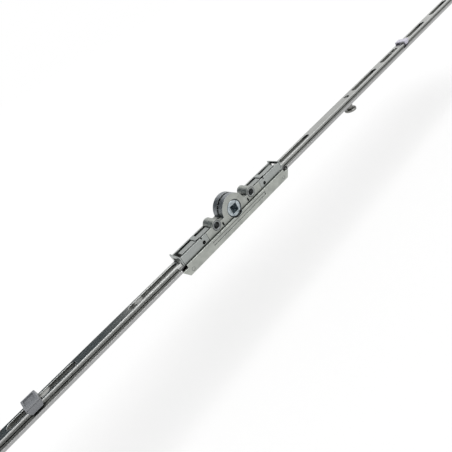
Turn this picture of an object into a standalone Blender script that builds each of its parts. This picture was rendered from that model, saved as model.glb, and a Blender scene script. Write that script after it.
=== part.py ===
"""Window espagnolette gearbox: a flat cast box with a square spindle, on a faceplate with a sliding drive rail.

X runs along the bar, Y away from the handle side, Z from the faceplate's front to the gear side.
Numbers are in millimetres and become metres through MM. Z = 0 is the front of the cast tray.
"""

import bmesh
import bpy
from math import acos, asin, cos, degrees, pi, radians, sin, tan
from mathutils import Matrix, Vector

MM = 0.001
GAP = 0.3

# Spindle, pinion and rack
SPINDLE_Z = 15.0
SQUARE = 7.0
BARREL_R = 6.9
BORE_R = BARREL_R + 0.5
RACK_LINE = 3.5408
PITCH_R = SPINDLE_Z - RACK_LINE
TEETH = 24
PITCH = 2 * pi * PITCH_R / TEETH
ADDENDUM = 0.95
DEDENDUM = 1.19
BACKLASH = 0.26
PINION_HALF = 0.7
GROOVE_HALF = PINION_HALF + 0.5
RACK_HALF = 2.2
STROKE = 18.0

# Bar
BAR_LEFT = -225.0
BAR_RIGHT = 440.0
PLATE_JOINT = 245.0
PLATE_THICK = 2.3
CORNER = 0.8
RAIL_HALF = 4.41
RAIL_THICK = 2.7
SLOT_HALF = 2.6

# Gear case
SHEET = 1.2
CASE_HALF = RAIL_HALF + 0.39 + SHEET
CASE_TOP = 16.6
PLATE_END = 33.0
WALL_START = PLATE_END + GAP
ARC_R = PITCH_R + ADDENDUM + 0.09
TUBE_X = 21.5
TUBE_R = 4.0
TUBE_WALL = 1.35
COLLAR_R = TUBE_R + 0.8
PAD_EDGE = TUBE_X + TUBE_R
STRIP_HALF = 2.6
STRIP_LOW = 14.8
STRIP_HIGH = 16.0
CROSS_START = PLATE_END + 5.5
CROSS_END = CROSS_START + 4.0

# Ends of the gear case, set by how far the rail's tabs travel
TAB_X = PAD_EDGE + 0.5 + STROKE
TAB_THICK = 2.0
FORK_END = TAB_X + TAB_THICK + STROKE + 0.8
PLATE_START = FORK_END + 1.5

# Cast tray
TRAY_WALL = 1.7
TRAY_HALF = CASE_HALF + GAP + TRAY_WALL
TRAY_WEB = 1.0
PLATE_HALF = TRAY_HALF
TRAY_NOSE = PLATE_START + 0.5
TRAY_BOTTOM = TRAY_NOSE - 4.4
TRAY_STEP_Z = 6.7
FIELD_DEPTH = 0.5
WALL_END = TRAY_NOSE - 5.8
PLATE_LOW = TRAY_STEP_Z + GAP
PLATE_HIGH = PLATE_LOW + PLATE_THICK
RAIL_LOW = PLATE_HIGH + 0.4
RAIL_HIGH = RAIL_LOW + RAIL_THICK

# Staked pins through the faceplate's tongues
FORK_HALF = 2.9
TONGUE_HALF = TRAY_HALF - TRAY_WALL - GAP
TONGUE_START = WALL_END - 6.0
PIN_X = WALL_END - 3.0
PIN_Y = (FORK_HALF + TONGUE_HALF) / 2
PIN_R = (TONGUE_HALF - FORK_HALF) / 2 - 0.35 - GAP

# Locking cam
CAM_X = 180.6
CAM_PIN_R = 2.5
CAM_SLOT_HALF = STROKE + 3.0
CAM_SLOT_R = 3.3

for old in list(bpy.data.objects):
    bpy.data.objects.remove(old)
for old in list(bpy.data.materials):
    bpy.data.materials.remove(old)

assembly = bpy.data.collections.new("window_espagnolette_gearbox")
bpy.context.scene.collection.children.link(assembly)
cutters = bpy.data.collections.new("cutters")
bpy.context.scene.collection.children.link(cutters)
cutters.hide_render = True

ZINC = ((0.52, 0.53, 0.52, 1.0), 1.0, 0.42)
CASE_ZINC = ((0.50, 0.52, 0.53, 1.0), 1.0, 0.38)
BRIGHT_ZINC = ((0.62, 0.67, 0.72, 1.0), 1.0, 0.25)
CAST = ((0.46, 0.47, 0.46, 1.0), 1.0, 0.5)
RAIL_STEEL = ((0.45, 0.45, 0.43, 1.0), 1.0, 0.35)
PLASTIC = ((0.42, 0.42, 0.48, 1.0), 0.0, 0.45)
PALE_PLASTIC = ((0.60, 0.59, 0.66, 1.0), 0.0, 0.4)


def coat(item, look):
    """The piece's own material."""
    colour, metallic, roughness = look
    material = bpy.data.materials.new(item.name + "_finish")
    material.use_nodes = True
    surface = material.node_tree.nodes["Principled BSDF"]
    surface.inputs["Base Color"].default_value = colour
    surface.inputs["Metallic"].default_value = metallic
    surface.inputs["Roughness"].default_value = roughness
    item.data.materials.clear()
    item.data.materials.append(material)
    return item


def placed(name, shape):
    """A mesh object from a finished shape, with its faces turned outwards."""
    bmesh.ops.remove_doubles(shape, verts=shape.verts, dist=0.000001)
    bmesh.ops.recalc_face_normals(shape, faces=shape.faces)
    mesh = bpy.data.meshes.new(name)
    shape.to_mesh(mesh)
    shape.free()
    item = bpy.data.objects.new(name, mesh)
    assembly.objects.link(item)
    return item


def block(name, x, y, z):
    """A box between three pairs of limits, each pair in either order."""
    limits = [sorted(pair) for pair in (x, y, z)]
    shape = bmesh.new()
    bmesh.ops.create_cube(shape, size=1.0)
    size = Matrix.Diagonal([(high - low) * MM for low, high in limits] + [1.0])
    middle = Matrix.Translation(Vector([low + high for low, high in limits]) * MM / 2)
    bmesh.ops.transform(shape, matrix=middle @ size, verts=shape.verts)
    return placed(name, shape)


def slab(name, outlines, low, high, plane="XZ"):
    """A closed outline, with any holes in it, drawn out between two limits."""
    curve = bpy.data.curves.new(name + "_outline", "CURVE")
    curve.dimensions = "2D"
    curve.fill_mode = "BOTH"
    curve.extrude = abs(high - low) * MM / 2
    for points in outlines:
        spline = curve.splines.new("POLY")
        spline.points.add(len(points) - 1)
        for point, (u, v) in zip(spline.points, points):
            point.co = (u * MM, v * MM, 0.0, 1.0)
        spline.use_cyclic_u = True
    drawn = bpy.data.objects.new(name + "_outline", curve)
    assembly.objects.link(drawn)
    bpy.context.view_layer.update()
    mesh = bpy.data.meshes.new_from_object(drawn)
    bpy.data.objects.remove(drawn)
    shape = bmesh.new()
    shape.from_mesh(mesh)
    middle = (low + high) * MM / 2
    if plane == "XZ":
        turn = Matrix(((1, 0, 0, 0), (0, 0, 1, middle), (0, 1, 0, 0), (0, 0, 0, 1)))
    elif plane == "YZ":
        turn = Matrix(((0, 0, 1, middle), (1, 0, 0, 0), (0, 1, 0, 0), (0, 0, 0, 1)))
    else:
        turn = Matrix.Translation((0, 0, middle))
    bmesh.ops.transform(shape, matrix=turn, verts=shape.verts)
    return placed(name, shape)


def turned(name, profile, centre, axis="Z", steps=32):
    """A round piece from half its section, as pairs of radius and height along the axis."""
    shape = bmesh.new()
    row = [shape.verts.new((radius * MM, 0.0, height * MM)) for radius, height in profile]
    for first, second in zip(row, row[1:]):
        shape.edges.new((first, second))
    if profile[0][0] > 0 or profile[-1][0] > 0:
        shape.edges.new((row[-1], row[0]))
    mesh = bpy.data.meshes.new(name + "_section")
    shape.to_mesh(mesh)
    shape.free()
    section = bpy.data.objects.new(name + "_section", mesh)
    assembly.objects.link(section)
    screw = section.modifiers.new("Turn", "SCREW")
    screw.axis = "Z"
    screw.steps = steps
    screw.render_steps = steps
    screw.use_merge_vertices = True
    screw.merge_threshold = 0.00001
    graph = bpy.context.evaluated_depsgraph_get()
    solid = bpy.data.meshes.new_from_object(section.evaluated_get(graph))
    bpy.data.objects.remove(section)
    shape = bmesh.new()
    shape.from_mesh(solid)
    if axis == "Y":
        turn = Matrix(((1, 0, 0, 0), (0, 0, 1, 0), (0, 1, 0, 0), (0, 0, 0, 1)))
    else:
        turn = Matrix.Identity(4)
    place = Matrix.Translation(Vector(centre) * MM)
    bmesh.ops.transform(shape, matrix=place @ turn, verts=shape.verts)
    item = placed(name, shape)
    for face in item.data.polygons:
        face.use_smooth = True
    item.data.set_sharp_from_angle(angle=radians(35))
    return item


def rod(name, radius, low, high, centre, axis="Z", steps=32):
    low, high = sorted((low, high))
    return turned(name, [(0, low), (radius, low), (radius, high), (0, high)], centre, axis, steps)


def use(item, tool, operation):
    """Cuts the tool from the piece, or joins it on. The tool stays as a hidden helper."""
    modifier = item.modifiers.new(tool.name, "BOOLEAN")
    modifier.operation = operation
    modifier.solver = "EXACT"
    modifier.object = tool
    if tool.name not in cutters.objects:
        for home in list(tool.users_collection):
            home.objects.unlink(tool)
        cutters.objects.link(tool)
    tool.hide_render = True
    tool.display_type = "WIRE"
    return item


def cut(item, *tools):
    for tool in tools:
        use(item, tool, "DIFFERENCE")
    return item


def join(item, *tools):
    for tool in tools:
        use(item, tool, "UNION")
    return item


def soften(item, width, segments=2):
    """Rounds the outer edges, before any cut."""
    bevel = item.modifiers.new("Round", "BEVEL")
    bevel.width = width * MM
    bevel.segments = segments
    bevel.limit_method = "ANGLE"
    bevel.angle_limit = radians(40)
    return item


def arc(centre, radius, start, end, count):
    """Points on a circle between two angles in degrees, both ends included."""
    turns = [radians(start + (end - start) * i / count) for i in range(count + 1)]
    return [(centre[0] + radius * cos(a), centre[1] + radius * sin(a)) for a in turns]


def ring(centre, radius, count=24):
    return arc(centre, radius, 0, 360, count)[:-1]


def obround(start, end, half, count=6):
    """A slot with round ends along X."""
    right = arc((end - half, 0), half, -90, 90, count)
    left = arc((start + half, 0), half, 90, 270, count)
    return right + left


def mirrored(points):
    return [(-u, v) for u, v in reversed(points)]


# Cast tray
tray_outline = [
    (-TRAY_BOTTOM, 0), (TRAY_BOTTOM, 0), (TRAY_NOSE, TRAY_STEP_Z), (WALL_END, TRAY_STEP_Z),
    (WALL_END, PLATE_HIGH), (-WALL_END, PLATE_HIGH), (-WALL_END, TRAY_STEP_Z), (-TRAY_NOSE, TRAY_STEP_Z),
]
tray = slab("front_housing", [tray_outline], -TRAY_HALF, TRAY_HALF)
soften(tray, 0.45)
slope = (TRAY_NOSE - TRAY_BOTTOM) / TRAY_STEP_Z
nose_wall = 1.44
floor_x = TRAY_BOTTOM + slope * TRAY_WEB - nose_wall
mouth_x = TRAY_BOTTOM + slope * (PLATE_HIGH + 0.7) - nose_wall
inside = TRAY_HALF - TRAY_WALL
pocket_outline = [
    (-floor_x, TRAY_WEB), (floor_x, TRAY_WEB), (mouth_x, PLATE_HIGH + 0.7), (-mouth_x, PLATE_HIGH + 0.7),
]
cut(tray, slab("tray_pocket", [pocket_outline], -inside, inside))
for side in (-1, 1):
    for face in (-1, 1):
        along = (TONGUE_START * side, WALL_END * side)
        across = ((FORK_HALF - 0.2) * face, (inside + 0.7) * face)
        join(tray, block("tray_ledge", along, across, (0.5, TRAY_STEP_Z)))
for side in (-1, 1):
    for face in (-1, 1):
        centre = (PIN_X * side, PIN_Y * face, 0)
        cut(tray, rod("tray_pin_hole", PIN_R + GAP, 1.8, 8, centre, "Z", 16))
cut(tray, rod("tray_arc", BORE_R + 0.1, -9, 9, (0, 0, SPINDLE_Z), "Y", 64))
for face in (-1, 1):
    across = ((TRAY_HALF - FIELD_DEPTH) * face, (TRAY_HALF + 1.0) * face)
    cut(tray, block("tray_field", (-PLATE_END, PLATE_END), across, (4.1, TRAY_STEP_Z - 0.1)))
    near, far = sorted(((TRAY_HALF - 0.25) * face, (TRAY_HALF + 0.5) * face))
    for side in (-1, 1):
        groove = [(1.2, near), (1.65, near), (1.65, far), (1.2, far)]
        cut(tray, turned("tray_mark", groove, (PIN_X * side, 0, 3.2), "Y", 20))
coat(tray, CAST)



def screw_hole(plate, x):
    """A hole with a countersink in the front, for a screw into the sash."""
    sink = [
        (0, PLATE_LOW - 1), (4.75, PLATE_LOW - 1), (4.75, PLATE_LOW + 0.1), (3.75, PLATE_LOW + 1.1),
        (3.75, PLATE_HIGH + 0.7), (0, PLATE_HIGH + 0.7),
    ]
    return cut(plate, turned("screw_hole", sink, (x, 0, 0), "Z", 28))


# Faceplate lengths beside the tray, each with a forked tongue in it and a narrow neck over its nose
for side, end, name in ((-1, BAR_LEFT, "faceplate_left"), (1, BAR_RIGHT, "faceplate_right")):
    far = abs(end) if side < 0 else PLATE_JOINT
    corner = CORNER if side < 0 else 0.05
    neck = RAIL_HALF
    neck_start = WALL_END - 0.2
    edge = [
        (TONGUE_START, -TONGUE_HALF), (neck_start, -TONGUE_HALF), (neck_start, -neck), (PLATE_START, -neck),
        (PLATE_START, -PLATE_HALF), (far - corner, -PLATE_HALF), (far, -PLATE_HALF + corner),
        (far, PLATE_HALF - corner), (far - corner, PLATE_HALF), (PLATE_START, PLATE_HALF), (PLATE_START, neck),
        (neck_start, neck), (neck_start, TONGUE_HALF), (TONGUE_START, TONGUE_HALF),
        (TONGUE_START, FORK_HALF), (FORK_END, FORK_HALF), (FORK_END, -FORK_HALF), (TONGUE_START, -FORK_HALF),
    ]
    holes = [ring((PIN_X, PIN_Y), PIN_R + GAP, 16), ring((PIN_X, -PIN_Y), PIN_R + GAP, 16)]
    if side > 0:
        holes.append(obround(CAM_X - CAM_SLOT_HALF, CAM_X + CAM_SLOT_HALF, CAM_SLOT_R, 8))
    outlines = [edge] + holes
    if side < 0:
        outlines = [mirrored(points) for points in outlines]
    plate = slab(name, outlines, PLATE_LOW, PLATE_HIGH, "XY")
    if side < 0:
        screw_hole(plate, -184)
        screw_hole(plate, -102)
        cut(plate, rod("locating_hole", 1.75, PLATE_LOW - 1, PLATE_HIGH + 1, (-93, 0, 0), "Z", 20))
    coat(plate, ZINC)

# Far length of the faceplate, butted to the right one under a solid stretch of the rail
start = PLATE_JOINT + GAP
edge = [
    (start, -PLATE_HALF), (BAR_RIGHT - CORNER, -PLATE_HALF), (BAR_RIGHT, -PLATE_HALF + CORNER),
    (BAR_RIGHT, PLATE_HALF - CORNER), (BAR_RIGHT - CORNER, PLATE_HALF), (start, PLATE_HALF),
]
plate = slab("faceplate_right_end", [edge], PLATE_LOW, PLATE_HIGH, "XY")
coat(screw_hole(plate, PLATE_JOINT + 38), ZINC)

for side, end in ((-1, "left"), (1, "right")):
    for face, row in ((-1, "near"), (1, "far")):
        centre = (PIN_X * side, PIN_Y * face, 0)
        pin = rod(f"faceplate_pin_{end}_{row}", PIN_R, 2.1, PLATE_HIGH - GAP, centre, "Z", 16)
        coat(pin, ZINC)

# Gear case side walls
for side, end in ((-1, "left"), (1, "right")):
    for face, row in ((-1, "near"), (1, "far")):
        skirt = TONGUE_START - 2.0
        notch = (CROSS_START - GAP, CROSS_END + GAP)
        notch_z = STRIP_HIGH - 0.4 - GAP
        if face < 0:
            notch = (notch[0], notch[0] + 1.2)
        edge = [
            (WALL_START, 4.0), (skirt, 4.0), (skirt, PLATE_HIGH + GAP), (WALL_END, PLATE_HIGH + GAP),
            (WALL_END, CASE_TOP), (notch[1], CASE_TOP), (notch[1], notch_z), (notch[0], notch_z),
            (notch[0], CASE_TOP), (WALL_START, CASE_TOP),
        ]
        outlines = [edge, ring((CROSS_START - 0.3, 11.9), 1.6, 20)]
        if side < 0:
            outlines = [mirrored(points) for points in outlines]
        wall = slab(f"{row}_wall_{end}", outlines, CASE_HALF * face, (CASE_HALF - SHEET) * face)
        coat(wall, CASE_ZINC)

# Gear plates, each a sheet with a thick pad round the pinion and a collar for each tube
shoulder = degrees(asin((CASE_TOP - SPINDLE_Z) / COLLAR_R))
ear = degrees(asin(0.3 / COLLAR_R))
crown = degrees(asin(0.3 / ARC_R))
collar = arc((TUBE_X, SPINDLE_Z), COLLAR_R, shoulder, 180 - ear, 12)
half_top = [(PLATE_END, TRAY_WEB + GAP), (PLATE_END, CASE_TOP)] + collar
dome = arc((0, SPINDLE_Z), ARC_R, crown, 180 - crown, 40)
sheet_outline = half_top + dome + mirrored(half_top)
pad_half = [
    (PAD_EDGE, PLATE_HIGH + GAP), (PAD_EDGE, SPINDLE_Z - 1.1), (TUBE_X - 0.4, SPINDLE_Z - 0.7),
    (TUBE_X - TUBE_R + 0.7, SPINDLE_Z + 0.1),
]
pad_outline = pad_half + arc((0, SPINDLE_Z), ARC_R - 0.06, 0.5, 179.5, 38) + mirrored(pad_half)
for face, row in ((-1, "near"), (1, "far")):
    plate = slab(f"{row}_gear_plate", [sheet_outline], CASE_HALF * face, (CASE_HALF - SHEET) * face)
    rooted = (CASE_HALF - SHEET / 2) * face
    join(plate, slab(f"{row}_pad", [pad_outline], GROOVE_HALF * face, rooted))
    cut(plate, rod(f"{row}_bore", BORE_R, -9, 9, (0, 0, SPINDLE_Z), "Y", 64))
    for side in (-1, 1):
        along = ((TUBE_X - 6.6) * side, (TUBE_X - 5.1) * side)
        cut(plate, block(f"{row}_lug_slot", along, (2.0 * face, 7.0 * face), (10.0, 13.3)))
    for side in (-1, 1):
        centre = (TUBE_X * side, 0, SPINDLE_Z)
        cut(plate, rod(f"{row}_tube_hole", TUBE_R + GAP, -9, 9, centre, "Y", 32))
    for side in (-1, 1):
        centre = (TUBE_X * side, SPINDLE_Z)
        rims = [ring(centre, COLLAR_R - 0.08, 36), ring(centre, TUBE_R + GAP + 0.06, 36)]
        join(plate, slab(f"{row}_collar", rims, GAP / 2 * face, rooted))
    coat(plate, CAST)

# Handle screw tubes
tube_bore = TUBE_R - TUBE_WALL
lip = CASE_HALF + GAP
for side, end in ((-1, "left"), (1, "right")):
    wall = [
        (tube_bore, 0.4 - lip), (tube_bore + 0.4, -lip), (TUBE_R - 0.2, -lip), (TUBE_R, 0.2 - lip),
        (TUBE_R, lip - 0.2), (TUBE_R - 0.2, lip), (tube_bore + 0.4, lip), (tube_bore, lip - 0.4),
    ]
    coat(turned(f"handle_screw_tube_{end}", wall, (TUBE_X * side, 0, SPINDLE_Z), "Y", 40), ZINC)

# Cover strips between the side walls, each with a tab that lies in the far wall's notch
for side, end in ((-1, "left"), (1, "right")):
    along = ((TUBE_X + COLLAR_R + GAP) * side, (WALL_END - 3.5) * side)
    strip = block(f"cover_strip_{end}", along, (-STRIP_HALF, STRIP_HALF), (STRIP_LOW, STRIP_HIGH))
    along = (CROSS_START * side, CROSS_END * side)
    across = (-STRIP_HALF, CASE_HALF)
    join(strip, block(f"strip_tab_{end}", along, across, (STRIP_HIGH - 0.4, STRIP_HIGH + 0.6)))
    coat(strip, CASE_ZINC)

# End plates, each open below for the drive rail and with an ear on the far side
for side, end in ((-1, "left"), (1, "right")):
    leg = CASE_HALF - SHEET
    edge = [
        (-CASE_HALF, PLATE_HIGH + GAP), (-leg, PLATE_HIGH + GAP), (-leg, CASE_TOP - 1.6), (leg, CASE_TOP - 1.6),
        (leg, PLATE_HIGH + GAP), (CASE_HALF + 0.6, PLATE_HIGH + GAP), (CASE_HALF + 2.1, CASE_TOP - 1.4),
        (CASE_HALF + 2.1, CASE_TOP + 0.6), (-CASE_HALF, CASE_TOP + 0.6),
    ]
    start = WALL_END + GAP
    coat(slab(f"end_plate_{end}", [edge], start * side, (start + 0.9) * side, "YZ"), CASE_ZINC)

# Rack slide with its two cranked ends
root_z = RACK_LINE - DEDENDUM
tip_z = root_z + DEDENDUM + ADDENDUM
pitch_half = (PITCH / 2 - BACKLASH) / 2
root_half = pitch_half + DEDENDUM * tan(radians(20))
tip_half = pitch_half - ADDENDUM * tan(radians(20))
half_rack = []
for k in range(int((TAB_X - 13.4) / PITCH)):
    x = PITCH * (k + 0.5)
    half_rack += [(x - root_half, root_z), (x - tip_half, tip_z), (x + tip_half, tip_z), (x + root_half, root_z)]
tab_top = RAIL_HIGH - GAP
slide_z = TRAY_WEB + GAP
half_top = half_rack + [
    (TAB_X - 12.4, slide_z + 1.6), (TAB_X - 9.0, slide_z + 1.6), (TAB_X - 2.5, PLATE_LOW + 0.1),
    (TAB_X, PLATE_LOW + 1.4), (TAB_X, tab_top), (TAB_X + TAB_THICK, tab_top),
    (TAB_X + TAB_THICK, PLATE_LOW), (TAB_X - 1.5, PLATE_LOW - 1.5), (TAB_X - 8.0, slide_z),
]
rack = slab("rack_slide", [half_top + mirrored(half_top)], -RACK_HALF, RACK_HALF)
coat(rack, ZINC)

# Drive rails, each with a row of slots and an open notch that takes the rack slide's tab
left_slots = [(159, 211), (64, 112)]
right_slots = [(66, 112), (192.4, 238.5), (251.7, 286.5), (312.3, 352.3), (371.5, 413.9)]
rails = []
for side, end, slots in ((-1, BAR_LEFT, left_slots), (1, BAR_RIGHT, right_slots)):
    far = abs(end)
    notch_x = TAB_X + TAB_THICK + GAP
    notch_y = RACK_HALF + GAP
    edge = [
        (TAB_X, -RAIL_HALF), (far - 0.5, -RAIL_HALF), (far, -RAIL_HALF + 0.5), (far, RAIL_HALF - 0.5),
        (far - 0.5, RAIL_HALF), (TAB_X, RAIL_HALF), (TAB_X, notch_y), (notch_x, notch_y),
        (notch_x, -notch_y), (TAB_X, -notch_y),
    ]
    outlines = [edge] + [obround(start, stop, SLOT_HALF, 8) for start, stop in slots]
    if side > 0:
        outlines.append(ring((CAM_X, 0), CAM_PIN_R + GAP, 28))
    if side < 0:
        outlines = [mirrored(points) for points in outlines]
    rail = slab("drive_rail_left" if side < 0 else "drive_rail_right", outlines, RAIL_LOW, RAIL_HIGH, "XY")
    rails.append(coat(rail, RAIL_STEEL))

# Cam pin and locking cam
pin_section = [
    (0, 11.0), (1.3, 11.0), (1.6, 11.7), (CAM_PIN_R, 11.7), (CAM_PIN_R, 6.9), (2.0, 6.9), (2.0, -1.7),
    (2.9, -1.7), (2.9, -2.5), (0, -2.5),
]
pin = coat(turned("cam_pin", pin_section, (CAM_X, 0, 0), "Z", 32), BRIGHT_ZINC)
cam_section = [
    (2.3, 6.6), (3.2, 6.6), (3.2, -0.2), (5.5, -0.4), (6.0, -0.9), (6.0, -2.4), (5.6, -2.8),
    (3.2, -2.8), (3.2, -1.4), (2.3, -1.4),
]
cam = coat(turned("locking_cam", cam_section, (CAM_X, 0, 0), "Z", 40), BRIGHT_ZINC)

# Plastic pieces that ride on the drive rail
channel = RAIL_HALF + 0.34
clip_z = RAIL_LOW + GAP
grip_near = -channel - 1.35
grip = block("guide_block", (-197, -187), (grip_near, channel + 0.95), (clip_z, 16.2))
soften(grip, 0.3, 1)
cut(grip, block("grip_channel", (-199, -185), (-channel, channel), (clip_z - 1, RAIL_HIGH + 0.35)))
cut(grip, block("grip_hollow", (-195.6, -188.6), (-2.6, 4.5), (14.9, 18)))
cut(grip, block("grip_line", (-199, -185), (grip_near - 0.4, grip_near + 0.25), (14.8, 15.1)))
for middle, side in ((-197, 1), (-187, -1)):
    corner = [
        (middle - 0.5 * side, clip_z - 0.5), (middle + 1.3 * side, clip_z - 0.5),
        (middle + 1.15 * side, clip_z), (middle - 0.5 * side, clip_z + 4.0),
    ]
    cut(grip, slab("grip_corner", [corner], grip_near - 1.0, -channel + 0.1))
join(grip, block("grip_rib", (-192.6, -191.4), (-3.0, 1.0), (14.4, 16.0)))
join(grip, block("grip_peg", (-195, -189), (-1.6, 1.6), (clip_z, RAIL_HIGH + 0.8)))
coat(grip, PLASTIC)

strap = channel + 0.95
saddle = block("guide_saddle", (295.5, 303.5), (-strap, strap), (clip_z, 14.8))
soften(saddle, 0.3, 1)
cut(saddle, block("saddle_channel", (290, 310), (-channel, channel), (clip_z - 1, 13.8)))
for middle, side in ((295.5, 1), (303.5, -1)):
    corner = [
        (middle - 0.5 * side, clip_z - 0.5), (middle + 1.8 * side, clip_z - 0.5),
        (middle + 1.6 * side, clip_z), (middle - 0.5 * side, clip_z + 3.6),
    ]
    cut(saddle, slab("saddle_corner", [corner], -strap - 1.0, -channel + 0.1))
coat(saddle, PALE_PLASTIC)

# Square spindle with its pinion
base_r = PITCH_R * cos(radians(20))
tooth = []
for radius in (PITCH_R - DEDENDUM, base_r, base_r + 0.25, PITCH_R, PITCH_R + 0.48, PITCH_R + ADDENDUM):
    slant = acos(min(1.0, base_r / radius))
    turn = tan(radians(20)) - radians(20) - (tan(slant) - slant)
    tooth.append((radius, pitch_half / PITCH_R + turn))
gear_outline = []
for k in range(TEETH):
    middle = -pi / 2 + 2 * pi * k / TEETH
    for radius, half in tooth:
        gear_outline.append((radius * cos(middle - half), SPINDLE_Z + radius * sin(middle - half)))
    for radius, half in reversed(tooth):
        gear_outline.append((radius * cos(middle + half), SPINDLE_Z + radius * sin(middle + half)))
spindle = slab("spindle_pinion", [gear_outline], -PINION_HALF, PINION_HALF)
chamfer = 0.4
barrel = [
    (0, -CASE_HALF), (BARREL_R - chamfer, -CASE_HALF), (BARREL_R, chamfer - CASE_HALF),
    (BARREL_R, CASE_HALF - chamfer), (BARREL_R - chamfer, CASE_HALF), (0, CASE_HALF),
]
join(spindle, turned("spindle_barrel", barrel, (0, 0, SPINDLE_Z), "Y", 64))
square = SQUARE / 2
cut(spindle, block("spindle_square", (-square, square), (-9, 9), (SPINDLE_Z - square, SPINDLE_Z + square)))
coat(spindle, BRIGHT_ZINC)


def set_origin(item, place):
    """Moves the origin to a joint axis and leaves the shape where it is."""
    shift = Vector(place) * MM
    item.data.transform(Matrix.Translation(-shift))
    item.location = shift
    return item


set_origin(spindle, (0, 0, SPINDLE_Z))
set_origin(cam, (CAM_X, 0, 0))
slide = bpy.data.objects.new("drive_slide_axis", None)
slide.location = Vector((0, 0, RAIL_LOW)) * MM
assembly.objects.link(slide)
bpy.context.view_layer.update()
for item in [rack, pin, grip, saddle, cam] + rails:
    item.parent = slide
    item.matrix_parent_inverse = slide.matrix_world.inverted()
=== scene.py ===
"""Looks of the window espagnolette gearbox.

Plated steel, zinc castings, two plastic riders and a plain studio. Lengths are in metres, in the
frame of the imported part: X along the bar, Y away from the handle side, Z to the gear side.
"""

from math import cos, radians, sin

import bpy
from mathutils import Matrix, Vector


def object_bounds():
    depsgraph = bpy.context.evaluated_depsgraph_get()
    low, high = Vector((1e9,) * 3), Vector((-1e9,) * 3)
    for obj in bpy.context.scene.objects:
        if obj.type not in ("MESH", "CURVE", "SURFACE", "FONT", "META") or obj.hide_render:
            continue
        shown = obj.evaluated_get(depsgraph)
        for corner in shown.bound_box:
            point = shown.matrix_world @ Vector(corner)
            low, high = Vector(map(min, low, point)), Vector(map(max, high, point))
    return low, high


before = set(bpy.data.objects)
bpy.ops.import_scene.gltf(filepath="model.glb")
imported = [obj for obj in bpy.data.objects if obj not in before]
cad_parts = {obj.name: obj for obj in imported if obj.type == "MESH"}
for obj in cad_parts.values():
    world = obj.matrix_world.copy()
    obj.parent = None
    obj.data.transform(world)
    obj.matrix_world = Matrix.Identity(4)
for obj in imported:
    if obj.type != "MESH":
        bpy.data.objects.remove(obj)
cad_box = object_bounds()

MM = 0.001

# The photograph's view, from a camera fitted with the 43 mm between the handle screws as its scale.
EYE = Vector((-153.56, -256.58, 171.84)) * MM
AIM = Vector((-11.34, 0.0, 4.61)) * MM
ROLL = radians(-29.58)
LENS_MM = 33.162

# The part stands clear of the floor, so that its shadow falls wide and soft.
FLOOR_DROP = 90 * MM
FLOOR_HALF = 6.0
CARD_DISTANCE = 4.0

SPINDLE_HEIGHT_MM = 15.0

# A face belongs to a side of the part where its normal's share along Y is above this.
SIDE_FACING = 0.5

# A noise pattern has most of its values in these ranges.
WIDE_RANGE = (0.3, 0.7)
CLOUD_RANGE = (0.35, 0.65)
MOTTLE_RANGE = (0.36, 0.62)

EDGE_SAMPLES = 4
CORNER_SAMPLES = 8


def linear(code):
    """An sRGB hex colour as linear red, green, blue and alpha."""
    values = [int(code[i : i + 2], 16) / 255 for i in (1, 3, 5)]
    curve = [v / 12.92 if v <= 0.04045 else ((v + 0.055) / 1.055) ** 2.4 for v in values]
    return curve + [1.0]


def add(tree, kind, settings=None, links=None):
    """A node with its settings and socket values, and with the sockets that feed it."""
    node = tree.nodes.new(kind)
    for name, value in (settings or {}).items():
        if isinstance(name, str) and hasattr(node, name):
            setattr(node, name, value)
        else:
            node.inputs[name].default_value = value
    for name, source in (links or {}).items():
        tree.links.new(source, node.inputs[name])
    return node


def empty_material(name):
    """A new material, with all its nodes still to be added."""
    material = bpy.data.materials.new(name)
    material.use_nodes = True
    material.node_tree.nodes.clear()
    return material


def toned(tree, pattern, reach, dark, light):
    """A colour that goes from dark to light as the pattern goes through its reach."""
    spread = add(
        tree,
        "ShaderNodeMapRange",
        {"From Min": reach[0], "From Max": reach[1]},
        {"Value": pattern},
    )
    colour = add(
        tree,
        "ShaderNodeMix",
        {"data_type": "RGBA", 6: linear(dark), 7: linear(light)},
        {0: spread.outputs["Result"]},
    )
    return colour.outputs[2]


def patch(tree, vector, middle, limits):
    """1 where the vector keeps each limit on its distance from the middle along an axis, else 0."""
    off = add(tree, "ShaderNodeVectorMath", {"operation": "SUBTRACT", 1: middle}, {0: vector})
    far = add(tree, "ShaderNodeVectorMath", {"operation": "ABSOLUTE"}, {0: off.outputs["Vector"]})
    along = add(tree, "ShaderNodeSeparateXYZ", {}, {"Vector": far.outputs["Vector"]})
    mask = None
    for axis, test, limit in limits:
        kept = add(
            tree,
            "ShaderNodeMath",
            {"operation": test, 1: limit},
            {0: along.outputs[axis]},
        )
        if mask:
            kept = add(
                tree,
                "ShaderNodeMath",
                {"operation": "MULTIPLY"},
                {0: mask, 1: kept.outputs[0]},
            )
        mask = kept.outputs[0]
    return mask


def faces_that(tree, test, mask):
    """1 inside the mask where the surface passes the test on how much it faces along Y."""
    facing = add(tree, "ShaderNodeTexCoord").outputs["Normal"]
    side = patch(tree, facing, (0.0, 0.0, 0.0), (("Y", test, SIDE_FACING),))
    both = add(tree, "ShaderNodeMath", {"operation": "MULTIPLY"}, {0: mask, 1: side})
    return both.outputs[0]


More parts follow.
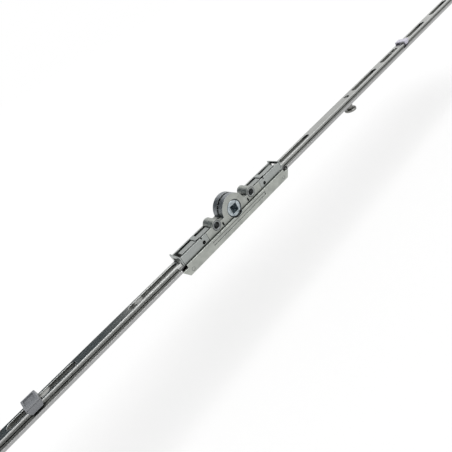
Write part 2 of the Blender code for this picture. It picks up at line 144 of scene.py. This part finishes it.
def shade_corners_and_wear_edges(tree, clean, rounded, corner_shade, worn_highlit_edge, corner_mm, open_at=0.8):
    """The clean colour, darkened by painted shade in corners, and lightened on the edges by wear
    and a painted highlight.
    """
    buried_at = 0.25
    # How far the rounded normal leans from the flat one, as a cosine.
    full_lean = 0.86
    first_lean = 0.985
    most_lightening = 0.7
    # Painted shade: the colour darkens where near surfaces close the point in, in corners, recesses
    # and gaps between parts.
    corner = add(
        tree,
        "ShaderNodeAmbientOcclusion",
        {"samples": CORNER_SAMPLES, "Distance": corner_mm * MM},
    )
    open_air = add(
        tree,
        "ShaderNodeMapRange",
        {"From Min": buried_at, "From Max": open_at, "To Min": 0.0, "To Max": 1.0},
        {"Value": corner.outputs["AO"]},
    )
    flat = add(tree, "ShaderNodeNewGeometry").outputs["True Normal"]
    lean = add(tree, "ShaderNodeVectorMath", {"operation": "DOT_PRODUCT"}, {0: rounded, 1: flat})
    edge = add(
        tree,
        "ShaderNodeMapRange",
        {"From Min": full_lean, "From Max": first_lean, "To Min": most_lightening, "To Max": 0.0},
        {"Value": lean.outputs["Value"]},
    )
    # Wear and a painted highlight: the rounded edges are lightened.
    edge_lightened = add(
        tree,
        "ShaderNodeMix",
        {"data_type": "RGBA", 7: linear(worn_highlit_edge)},
        {0: edge.outputs["Result"], 6: clean},
    )
    in_shade = add(
        tree,
        "ShaderNodeMix",
        {"data_type": "RGBA", 6: linear(corner_shade)},
        {0: open_air.outputs["Result"], 7: edge_lightened.outputs[2]},
    )
    return in_shade.outputs[2]


def metal_surface(tree, colour, rounded, grain, rough, relief_strength, relief_mm):
    """The metal itself, rougher and higher where the grain is, on the rounded edges."""
    gloss = add(
        tree,
        "ShaderNodeMapRange",
        {
            "From Min": WIDE_RANGE[0],
            "From Max": WIDE_RANGE[1],
            "To Min": rough[0],
            "To Max": rough[1],
        },
        {"Value": grain},
    )
    relief = add(
        tree,
        "ShaderNodeBump",
        {"Strength": relief_strength, "Distance": relief_mm * MM},
        {"Height": grain, "Normal": rounded},
    )
    surface = add(
        tree,
        "ShaderNodeBsdfPrincipled",
        {"Metallic": 1.0},
        {
            "Base Color": colour,
            "Roughness": gloss.outputs["Result"],
            "Normal": relief.outputs["Normal"],
        },
    )
    add(tree, "ShaderNodeOutputMaterial", {}, {"Surface": surface.outputs["BSDF"]})


def lip_line(tree, place):
    """Where a painted shade line runs along the lip above the long field in the tray's sides."""
    line_height_mm = 7.15
    half_length_mm = 33.2
    side_mm = 7.0
    # The real shaded lip is about 0.1 mm wide, too fine to show, so the painted shade line is drawn
    # 0.7 mm wide.
    half_width_mm = 0.35
    return patch(
        tree,
        place,
        (0.0, 0.0, line_height_mm * MM),
        (
            ("X", "LESS_THAN", half_length_mm * MM),
            ("Y", "GREATER_THAN", side_mm * MM),
            ("Z", "LESS_THAN", half_width_mm * MM),
        ),
    )


def dome_rim(tree, place):
    """Where the gear plates' rim runs round the spindle, painted darker than their tumbled sides as
    a painted reflection.
    """
    reach_mm = 13.0
    near_spindle = patch(
        tree,
        place,
        (0.0, 0.0, SPINDLE_HEIGHT_MM * MM),
        (("X", "LESS_THAN", reach_mm * MM), ("Z", "LESS_THAN", reach_mm * MM)),
    )
    return faces_that(tree, "LESS_THAN", near_spindle)


def zinc_die_casting(name, dark, light, rough, painted_shade, where):
    """Zinc alloy, cast in a steel die and tumbled: satin, pale grey, sandy and faintly clouded."""
    grain_mm = 0.5
    cloud_mm = 7.0
    edge_mm = 0.25
    corner_mm = 1.6
    open_at = 0.92
    relief_strength = 0.25
    relief_mm = 0.04
    # Colours of the painted shade in corners and of the worn edges with their painted highlight.
    corner_shade = "#282B30"
    worn_highlit_edge = "#D8DBDD"
    material = empty_material(name)
    tree = material.node_tree
    place = add(tree, "ShaderNodeTexCoord").outputs["Object"]
    grain = add(
        tree,
        "ShaderNodeTexNoise",
        {"Scale": 1 / (grain_mm * MM), "Detail": 3.0},
        {"Vector": place},
    ).outputs["Fac"]
    cloud = add(
        tree,
        "ShaderNodeTexNoise",
        {"Scale": 1 / (cloud_mm * MM), "Detail": 4.0},
        {"Vector": place},
    ).outputs["Fac"]
    rounded = add(
        tree,
        "ShaderNodeBevel",
        {"samples": EDGE_SAMPLES, "Radius": edge_mm * MM},
    ).outputs["Normal"]
    tumbled = toned(tree, cloud, CLOUD_RANGE, dark, light)
    # Painted shade: where the mask holds, the colour gives way to a darker painted tone.
    clean = add(
        tree,
        "ShaderNodeMix",
        {"data_type": "RGBA", 7: linear(painted_shade)},
        {0: where(tree, place), 6: tumbled},
    )
    shaded_and_worn = shade_corners_and_wear_edges(tree, clean.outputs[2], rounded, corner_shade, worn_highlit_edge, corner_mm, open_at)
    metal_surface(tree, shaded_and_worn, rounded, grain, rough, relief_strength, relief_mm)
    return material


def rolled_steel_zinc_plated(
    name,
    dark,
    light,
    rough,
    corner_mm,
    edge_mm=0.2,
    # The colour of the painted shade in corners.
    corner_shade="#1F2020",
    # The colour of the worn edges, with a painted highlight.
    worn_highlit_edge="#E2E4E3",
    lit_sides=None,
):
    """Cold rolled strip, zinc plated: fine streaks along the bar and a satin sheen.

    The outer sides of the strip can take a lighter colour, a painted highlight.
    """
    streak_mm = 14.0
    # The real streaks are about 0.1 mm wide, too fine to show, so they are drawn 0.6 mm wide.
    streak_width_mm = 0.6
    cloud_mm = 25.0
    streak_share = 0.6
    cloud_share = 0.4
    outer_mm = 4.0
    relief_strength = 0.2
    relief_mm = 0.02
    material = empty_material(name)
    tree = material.node_tree
    place = add(tree, "ShaderNodeTexCoord").outputs["Object"]
    stretch = Vector((1 / streak_mm, 1 / streak_width_mm, 1 / streak_width_mm)) / MM
    along = add(tree, "ShaderNodeMapping", {"Scale": stretch}, {"Vector": place})
    streak = add(
        tree,
        "ShaderNodeTexNoise",
        {"Scale": 1.0, "Detail": 3.0},
        {"Vector": along.outputs["Vector"]},
    ).outputs["Fac"]
    cloud = add(
        tree,
        "ShaderNodeTexNoise",
        {"Scale": 1 / (cloud_mm * MM), "Detail": 2.0},
        {"Vector": place},
    ).outputs["Fac"]
    clouded = add(
        tree,
        "ShaderNodeMath",
        {"operation": "MULTIPLY", 1: cloud_share},
        {0: cloud},
    )
    both = add(
        tree,
        "ShaderNodeMath",
        {"operation": "MULTIPLY_ADD", 1: streak_share},
        {0: streak, 2: clouded.outputs[0]},
    )
    rounded = add(
        tree,
        "ShaderNodeBevel",
        {"samples": EDGE_SAMPLES, "Radius": edge_mm * MM},
    ).outputs["Normal"]
    clean = toned(tree, both.outputs[0], CLOUD_RANGE, dark, light)
    # Painted highlight: the outer side faces take a lighter colour.
    if lit_sides:
        outer = patch(tree, place, (0.0, 0.0, 0.0), (("Y", "GREATER_THAN", outer_mm * MM),))
        clean = add(
            tree,
            "ShaderNodeMix",
            {"data_type": "RGBA", 7: linear(lit_sides)},
            {0: faces_that(tree, "GREATER_THAN", outer), 6: clean},
        ).outputs[2]
    shaded_and_worn = shade_corners_and_wear_edges(tree, clean, rounded, corner_shade, worn_highlit_edge, corner_mm)
    metal_surface(tree, shaded_and_worn, rounded, streak, rough, relief_strength, relief_mm)
    return material


def blue_passivated_zinc():
    """Turned steel, bright zinc, passivated blue: cool and shiny, with the teeth painted dark as
    shade between the gear plates.
    """
    mottle_mm = 2.2
    edge_mm = 0.25
    corner_mm = 4.0
    rough = (0.18, 0.36)
    relief_strength = 0.15
    relief_mm = 0.03
    # The teeth begin outside the bearing rings, at this radius from the spindle's axis.
    tooth_mm = 7.6
    axis = (0.0, 0.0, SPINDLE_HEIGHT_MM * MM)
    material = empty_material("blue_passivated_zinc")
    tree = material.node_tree
    place = add(tree, "ShaderNodeTexCoord").outputs["Object"]
    mottle = add(
        tree,
        "ShaderNodeTexNoise",
        {"Scale": 1 / (mottle_mm * MM), "Detail": 3.0},
        {"Vector": place},
    ).outputs["Fac"]
    arm = add(tree, "ShaderNodeVectorMath", {"operation": "SUBTRACT", 1: axis}, {0: place})
    across = add(
        tree,
        "ShaderNodeVectorMath",
        {"operation": "MULTIPLY", 1: (1.0, 0.0, 1.0)},
        {0: arm.outputs["Vector"]},
    )
    radius = add(
        tree,
        "ShaderNodeVectorMath",
        {"operation": "LENGTH"},
        {0: across.outputs["Vector"]},
    )
    teeth_shaded = add(
        tree,
        "ShaderNodeMath",
        {"operation": "GREATER_THAN", 1: tooth_mm * MM},
        {0: radius.outputs["Value"]},
    )
    rounded = add(
        tree,
        "ShaderNodeBevel",
        {"samples": EDGE_SAMPLES, "Radius": edge_mm * MM},
    ).outputs["Normal"]
    plated = toned(tree, mottle, MOTTLE_RANGE, "#7D868B", "#B4BDC1")
    # Painted shade: the teeth, which sit between the gear plates, take a dark colour.
    clean = add(
        tree,
        "ShaderNodeMix",
        {"data_type": "RGBA", 7: linear("#4A4C4C")},
        {0: teeth_shaded.outputs[0], 6: plated},
    )
    # Painted shade in corners, and worn edges with a painted highlight.
    shaded_and_worn = shade_corners_and_wear_edges(tree, clean.outputs[2], rounded, "#6F7C86", "#D5DCE0", corner_mm)
    metal_surface(tree, shaded_and_worn, rounded, mottle, rough, relief_strength, relief_mm)
    return material


def moulded_acetal(name, shade, glow):
    """Injection moulded acetal: slightly milky, smooth, with a faint moulding texture."""
    grain_mm = 0.4
    edge_mm = 0.3
    relief_strength = 0.15
    relief_mm = 0.03
    glow_depth_mm = 1.0
    material = empty_material(name)
    tree = material.node_tree
    place = add(tree, "ShaderNodeTexCoord").outputs["Object"]
    grain = add(
        tree,
        "ShaderNodeTexNoise",
        {"Scale": 1 / (grain_mm * MM), "Detail": 2.0},
        {"Vector": place},
    ).outputs["Fac"]
    colour = add(
        tree,
        "ShaderNodeMix",
        {"data_type": "RGBA", 6: linear(shade), 7: linear(glow)},
        {0: grain},
    )
    rounded = add(
        tree,
        "ShaderNodeBevel",
        {"samples": EDGE_SAMPLES, "Radius": edge_mm * MM},
    ).outputs["Normal"]
    relief = add(
        tree,
        "ShaderNodeBump",
        {"Strength": relief_strength, "Distance": relief_mm * MM},
        {"Height": grain, "Normal": rounded},
    )
    surface = add(
        tree,
        "ShaderNodeBsdfPrincipled",
        {
            "Roughness": 0.38,
            "IOR": 1.48,
            "Subsurface Weight": 0.25,
            "Subsurface Scale": glow_depth_mm * MM,
            "Subsurface Radius": (1.0, 1.0, 1.0),
        },
        {"Base Color": colour.outputs[2], "Normal": relief.outputs["Normal"]},
    )
    add(tree, "ShaderNodeOutputMaterial", {}, {"Surface": surface.outputs["BSDF"]})
    return material


def dress():
    """Gives each node of the part its finish."""
    casting = zinc_die_casting(
        "zinc_die_casting",
        "#9A9D98",
        "#ABAEA9",
        rough=(0.38, 0.52),
        # A painted darker reflection on the gear plates' rim.
        painted_shade="#8C9093",
        where=dome_rim,
    )
    sheet = rolled_steel_zinc_plated(
        "zinc_plated_sheet",
        "#929694",
        "#A6AAA8",
        rough=(0.26, 0.4),
        corner_mm=4.0,
    )
    tube = rolled_steel_zinc_plated(
        "zinc_plated_tube",
        "#74777A",
        "#949794",
        rough=(0.36, 0.5),
        corner_mm=2.0,
        # Painted shade in the bore and corners, and worn edges with a painted highlight.
        corner_shade="#17181A",
        worn_highlit_edge="#B6B9B9",
    )
    cam = rolled_steel_zinc_plated(
        "zinc_plated_cam",
        "#6F6F6C",
        "#8C8C89",
        rough=(0.2, 0.32),
        corner_mm=2.0,
    )
    strip = rolled_steel_zinc_plated(
        "galvanised_strip",
        "#9B9C99",
        "#B3B4B1",
        rough=(0.2, 0.3),
        corner_mm=0.8,
        edge_mm=0.7,
        # A painted highlight on the rails' outer sides.
        lit_sides="#C6C7C5",
    )
    backing = rolled_steel_zinc_plated(
        "galvanised_backing_strip",
        "#868785",
        "#A2A3A0",
        rough=(0.22, 0.34),
        corner_mm=2.0,
        edge_mm=0.4,
        # Painted shade in corners.
        corner_shade="#333334",
        # A painted highlight on the faceplates' outer sides.
        lit_sides="#A5A5A5",
    )
    tray = zinc_die_casting(
        "zinc_die_casting_tray",
        "#999C97",
        "#AAADA7",
        rough=(0.24, 0.38),
        # A painted shade line along the lip above the tray's field.
        painted_shade="#6B6D6A",
        where=lip_line,
    )
    finishes = {
        "front_housing": tray,
        "near_gear_plate": casting,
        "far_gear_plate": casting,
        "spindle_pinion": blue_passivated_zinc(),
        "cam_pin": cam,
        "locking_cam": cam,
        "rack_slide": sheet,
        "faceplate_left": backing,
        "faceplate_right": backing,
        "faceplate_right_end": backing,
        "drive_rail_left": strip,
        "drive_rail_right": strip,
        "guide_block": moulded_acetal("grey_acetal", "#6F7175", "#8C8E91"),
        "guide_saddle": moulded_acetal("pale_acetal", "#BDBBC8", "#D2D0DC"),
    }
    for end in ("left", "right"):
        finishes[f"handle_screw_tube_{end}"] = tube
        for sheet_piece in ("cover_strip", "end_plate", "near_wall", "far_wall"):
            finishes[f"{sheet_piece}_{end}"] = sheet
        for row in ("near", "far"):
            finishes[f"faceplate_pin_{end}_{row}"] = sheet
    for name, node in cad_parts.items():
        for slot in node.material_slots:
            slot.material = finishes[name]


def stage_piece(name, corners, faces, material_name, tone):
    """A plain sheet of one matt colour that belongs to the studio."""
    mesh = bpy.data.meshes.new(name)
    mesh.from_pydata(corners, [], faces)
    piece = bpy.data.objects.new(name, mesh)
    bpy.context.scene.collection.objects.link(piece)
    material = empty_material(material_name)
    tree = material.node_tree
    surface = add(tree, "ShaderNodeBsdfDiffuse", {"Color": linear(tone)})
    add(tree, "ShaderNodeOutputMaterial", {}, {"Surface": surface.outputs["BSDF"]})
    mesh.materials.append(material)
    return piece


def studio_floor():
    """A wide matt floor of white paper under the part."""
    low = cad_box[0][2] - FLOOR_DROP
    signs = ((-1, -1), (1, -1), (1, 1), (-1, 1))
    corners = [(x * FLOOR_HALF, y * FLOOR_HALF, low) for x, y in signs]
    floor = stage_piece("floor", corners, [(0, 1, 2, 3)], "matt_white_paper", "#FDFDFD")


def dark_card(name, azimuth, height, tone):
    """A curved sheet of dark felt, far off, that only the metal's reflections meet."""
    steps = 16
    corners = []
    for up in map(radians, height):
        for step in range(steps + 1):
            turn = radians(azimuth[0] + (azimuth[1] - azimuth[0]) * step / steps)
            towards = Vector((cos(up) * cos(turn), cos(up) * sin(turn), sin(up)))
            corners.append(towards * CARD_DISTANCE)
    faces = [(i, i + 1, i + steps + 2, i + steps + 1) for i in range(steps)]
    card = stage_piece(name, corners, faces, name + "_felt", tone)
    card.visible_camera = False
    card.visible_diffuse = False
    card.visible_transmission = False
    card.visible_shadow = False


def studio_world():
    """Even light all round. What the camera and the metal see of it is plain white."""
    fill_strength = 0.55
    white_strength = 1.0
    world = bpy.data.worlds.new("studio")
    bpy.context.scene.world = world
    world.use_nodes = True
    tree = world.node_tree
    tree.nodes.clear()
    ray = add(tree, "ShaderNodeLightPath")
    mirror = add(
        tree,
        "ShaderNodeMath",
        {"operation": "MAXIMUM"},
        {0: ray.outputs["Is Glossy Ray"], 1: ray.outputs["Is Transmission Ray"]},
    )
    seen = add(
        tree,
        "ShaderNodeMath",
        {"operation": "MAXIMUM"},
        {0: ray.outputs["Is Camera Ray"], 1: mirror.outputs[0]},
    )
    fill, white = (
        add(tree, "ShaderNodeBackground", {"Color": linear("#FFFFFF"), "Strength": strength})
        for strength in (fill_strength, white_strength)
    )
    both = add(
        tree,
        "ShaderNodeMixShader",
        {},
        {0: seen.outputs[0], 1: fill.outputs[0], 2: white.outputs[0]},
    )
    add(tree, "ShaderNodeOutputWorld", {}, {"Surface": both.outputs[0]})


def studio_sun():
    """One broad soft light from the front right, high up."""
    azimuth = radians(-47)
    height = radians(70)
    lamp = bpy.data.lights.new("broad_light", "SUN")
    lamp.energy = 1.6
    lamp.angle = radians(55)
    item = bpy.data.objects.new("broad_light", lamp)
    towards = Vector((cos(height) * cos(azimuth), cos(height) * sin(azimuth), sin(height)))
    item.rotation_euler = towards.to_track_quat("Z", "Y").to_euler()
    bpy.context.scene.collection.objects.link(item)


def studio_camera():
    """The photograph's view: from the handle side and above, rolled so that the bar climbs."""
    lens = bpy.data.cameras.new("photo_view")
    lens.lens = LENS_MM
    lens.clip_start = 10 * MM
    camera = bpy.data.objects.new("photo_view", lens)
    turn = (AIM - EYE).to_track_quat("-Z", "Y").to_matrix().to_4x4()
    camera.matrix_world = Matrix.Translation(EYE) @ turn @ Matrix.Rotation(ROLL, 4, "Z")
    bpy.context.scene.collection.objects.link(camera)
    bpy.context.scene.camera = camera


dress()
studio_floor()
dark_card("back_left_card", azimuth=(81, 215), height=(9, 72), tone="#616A6F")
dark_card("front_card", azimuth=(-118, -60), height=(8, 44), tone="#A8A8A8")
studio_world()
studio_sun()
studio_camera()
bpy.context.scene.view_settings.view_transform = "Standard"
